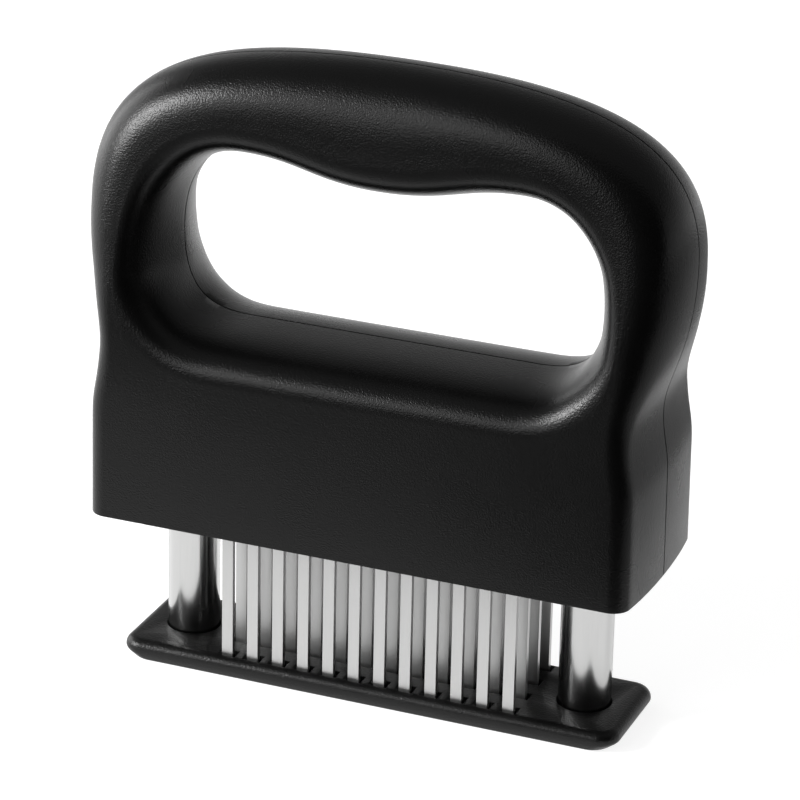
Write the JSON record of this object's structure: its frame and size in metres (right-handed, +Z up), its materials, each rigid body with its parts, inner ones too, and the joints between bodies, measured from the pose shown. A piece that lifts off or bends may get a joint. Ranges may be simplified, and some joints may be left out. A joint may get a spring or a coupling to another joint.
{
  "type": "blade meat tenderizer",
  "caption": "Hand press with a looped handle whose rows of flat blades slide down two sprung columns and pass through a slotted base plate.",
  "frame": {"origin": "middle of the base plate's underside, on the surface that the tool stands on", "axes": "+Z up along the columns, +X along the handle from one column to the other, +Y from the front of the handle to its back"},
  "size_m": [0.1272, 0.0428, 0.1354],
  "materials": {
    "handle_plastic": "fine grain, satin black",
    "plate_plastic": "fine grain, semi-gloss black",
    "holder_plastic": "moulded black",
    "bush_plastic": "natural white, low friction",
    "column_steel": "fine satin, drawn tube",
    "blade_steel": "stamped and polished strip",
    "spring_steel": "drawn wire",
    "screw_steel": "bright zinc"
  },
  "bodies": {
    "base": {"base_plate": "plate_plastic", "column_left": "column_steel", "column_right": "column_steel", "screw_left": "screw_steel", "screw_right": "screw_steel", "spring_left": "spring_steel", "spring_right": "spring_steel"},
    "handle": {"handle_front_shell": "handle_plastic", "handle_rear_shell": "handle_plastic", "blade_holder": "holder_plastic", "guide_bush_left": "bush_plastic", "guide_bush_right": "bush_plastic", "blade_1_1": "blade_steel", "blade_1_2": "blade_steel", "blade_1_3": "blade_steel", "blade_1_4": "blade_steel", "blade_1_5": "blade_steel", "blade_1_6": "blade_steel", "blade_1_7": "blade_steel", "blade_1_8": "blade_steel", "blade_1_9": "blade_steel", "blade_1_10": "blade_steel", "blade_1_11": "blade_steel", "blade_1_12": "blade_steel", "blade_2_1": "blade_steel", "blade_2_2": "blade_steel", "blade_2_3": "blade_steel", "blade_2_4": "blade_steel", "blade_2_5": "blade_steel", "blade_2_6": "blade_steel", "blade_2_7": "blade_steel", "blade_2_8": "blade_steel", "blade_2_9": "blade_steel", "blade_2_10": "blade_steel", "blade_2_11": "blade_steel", "blade_2_12": "blade_steel", "blade_3_1": "blade_steel", "blade_3_2": "blade_steel", "blade_3_3": "blade_steel", "blade_3_4": "blade_steel", "blade_3_5": "blade_steel", "blade_3_6": "blade_steel", "blade_3_7": "blade_steel", "blade_3_8": "blade_steel", "blade_3_9": "blade_steel", "blade_3_10": "blade_steel", "blade_3_11": "blade_steel", "blade_3_12": "blade_steel", "blade_4_1": "blade_steel", "blade_4_2": "blade_steel", "blade_4_3": "blade_steel", "blade_4_4": "blade_steel", "blade_4_5": "blade_steel", "blade_4_6": "blade_steel", "blade_4_7": "blade_steel", "blade_4_8": "blade_steel", "blade_4_9": "blade_steel", "blade_4_10": "blade_steel", "blade_4_11": "blade_steel", "blade_4_12": "blade_steel"}
  },
  "joints": [
    {"name": "press", "type": "slide", "parent": "base", "child": "handle", "axis": [0, 0, -1], "range_m": [0, 0.028], "stiffness_N_per_m": 1600, "springref_m": -0.009, "deforming": ["spring_left", "spring_right"]}
  ]
}
